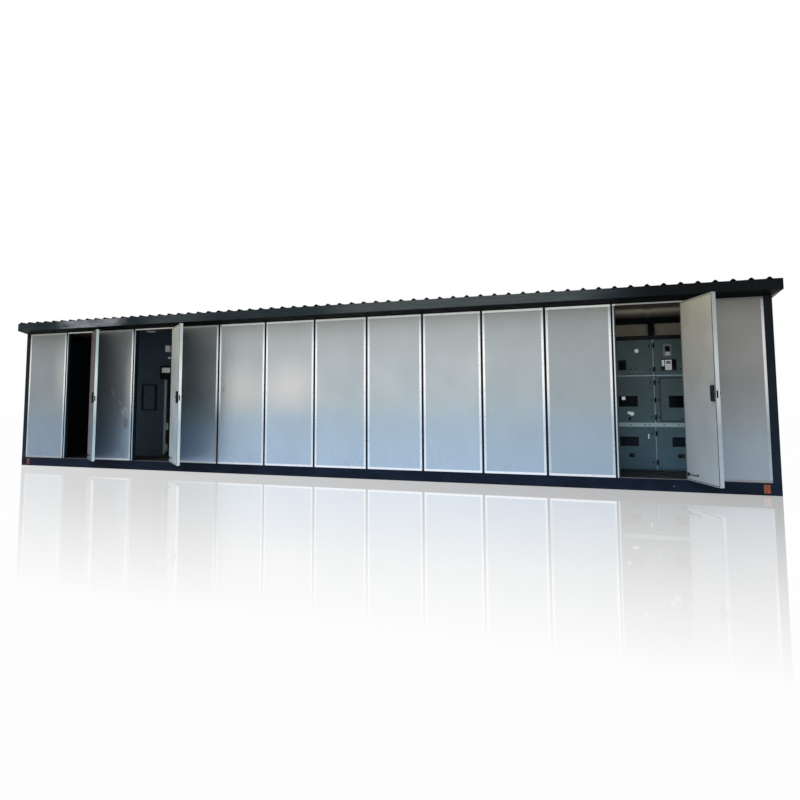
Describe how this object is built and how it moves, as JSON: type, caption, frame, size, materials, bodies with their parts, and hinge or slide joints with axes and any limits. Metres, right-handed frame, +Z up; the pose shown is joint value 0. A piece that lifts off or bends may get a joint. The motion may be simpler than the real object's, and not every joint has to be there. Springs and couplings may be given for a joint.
{
  "type": "compact substation building",
  "caption": "Long steel-framed switchgear house with silver panels, dark base and ribbed roof, and hinged personnel doors standing open on two cubicles.",
  "frame": {"origin": "centre of the base at ground level", "axes": "+X along the length, to the right when facing the doors; -Y out of the front with the doors; +Z up"},
  "size_m": [15.77, 4.1195, 3.3243],
  "materials": {
    "base_steel": "satin",
    "ceiling": "matt",
    "cubicle_band": "satin",
    "cubicle_paint": "satin",
    "dark_frame": "satin",
    "dark_plastic": "matt",
    "door_skin": "satin",
    "edge_trim": "satin",
    "fascia_steel": "satin",
    "floor_steel": "matt",
    "frame_steel": "satin",
    "hinge_steel": "brushed",
    "instrument_grey": "matt",
    "lamp": "matt",
    "lining_cream": "matt",
    "lock_black": "matt",
    "marker_orange": "satin",
    "panel_skin": "satin",
    "roof_steel": "satin",
    "screen_paint": "matt"
  },
  "bodies": {
    "enclosure": {"base_crossmembers": "base_steel", "base_end_beams": "base_steel", "base_side_beams": "base_steel", "ceiling_board": "ceiling", "ceiling_lamp": "lamp", "ceiling_strip": "dark_frame", "corner_posts": "frame_steel", "cubicle_bands": "cubicle_band", "cubicle_door_seal": "dark_plastic", "cubicle_hinge_blocks": "dark_plastic", "cubicle_instruments": "instrument_grey", "cubicle_knobs": "dark_plastic", "cubicle_latches": "dark_plastic", "cubicle_left": "cubicle_paint", "cubicle_left_doors": "cubicle_paint", "cubicle_right": "cubicle_paint", "cubicle_right_doors": "cubicle_paint", "cubicle_top_duct": "dark_plastic", "cubicle_windows": "dark_plastic", "doorway_heads": "edge_trim", "doorway_jambs": "edge_trim", "end_panel_trims": "edge_trim", "end_panels": "panel_skin", "floor_plate": "floor_steel", "frame_hinges": "hinge_steel", "front_fascia": "fascia_steel", "front_panel_trims": "edge_trim", "front_panels": "panel_skin", "inner_beam": "frame_steel", "inner_post": "frame_steel", "marker_plates": "marker_orange", "rear_fascia": "fascia_steel", "rear_lining": "lining_cream", "rear_panel_trims": "edge_trim", "rear_panels": "panel_skin", "roof_purlins": "frame_steel", "roof_rafters": "frame_steel", "roof_sheet": "roof_steel", "screen": "screen_paint", "screen_equipment": "instrument_grey", "screen_window_frame": "dark_frame", "side_fascias": "fascia_steel", "top_end_beams": "frame_steel", "top_side_beams": "frame_steel", "wall_studs": "frame_steel"},
    "door_1": {"door_1_leaf": "door_skin", "door_1_trim": "edge_trim", "door_1_fittings": "lock_black"},
    "door_1_lever": {"door_1_lever": "lock_black"},
    "door_2": {"door_2_leaf": "door_skin", "door_2_trim": "edge_trim", "door_2_fittings": "lock_black"},
    "door_2_lever": {"door_2_lever": "lock_black"},
    "door_3": {"door_3_leaf": "door_skin", "door_3_trim": "edge_trim", "door_3_fittings": "lock_black"},
    "door_3_lever": {"door_3_lever": "lock_black"}
  },
  "joints": [
    {"name": "door_1_hinge", "type": "hinge", "parent": "enclosure", "child": "door_1", "pos_m": [-5.7005, -1.51, 1.6], "axis": [0, 0, 1], "range_deg": [-142, 28]},
    {"name": "door_1_lever_turn", "type": "hinge", "parent": "door_1", "child": "door_1_lever", "pos_m": [-5.17798, -1.96519, 1.545], "axis": [0.6157, 0.788, 0], "range_deg": [-45, 0], "stiffness_Nm_per_rad": 1.2, "springref_deg": 28.65},
    {"name": "door_2_hinge", "type": "hinge", "parent": "enclosure", "child": "door_2", "pos_m": [-3.4805, -1.51, 1.6], "axis": [0, 0, 1], "range_deg": [-137.5, 32.5]},
    {"name": "door_2_lever_turn", "type": "hinge", "parent": "door_2", "child": "door_2_lever", "pos_m": [-2.78518, -2.19733, 1.545], "axis": [0.6756, 0.7373, 0], "range_deg": [-45, 0], "stiffness_Nm_per_rad": 1.2, "springref_deg": 28.65},
    {"name": "door_3_hinge", "type": "hinge", "parent": "enclosure", "child": "door_3", "pos_m": [6.5095, -1.51, 1.6], "axis": [0, 0, 1], "range_deg": [-111.5, 58.5]},
    {"name": "door_3_lever_turn", "type": "hinge", "parent": "door_3", "child": "door_3_lever", "pos_m": [6.83315, -2.43258, 1.545], "axis": [0.9304, 0.3665, 0], "range_deg": [-45, 0], "stiffness_Nm_per_rad": 1.2, "springref_deg": 28.65}
  ]
}
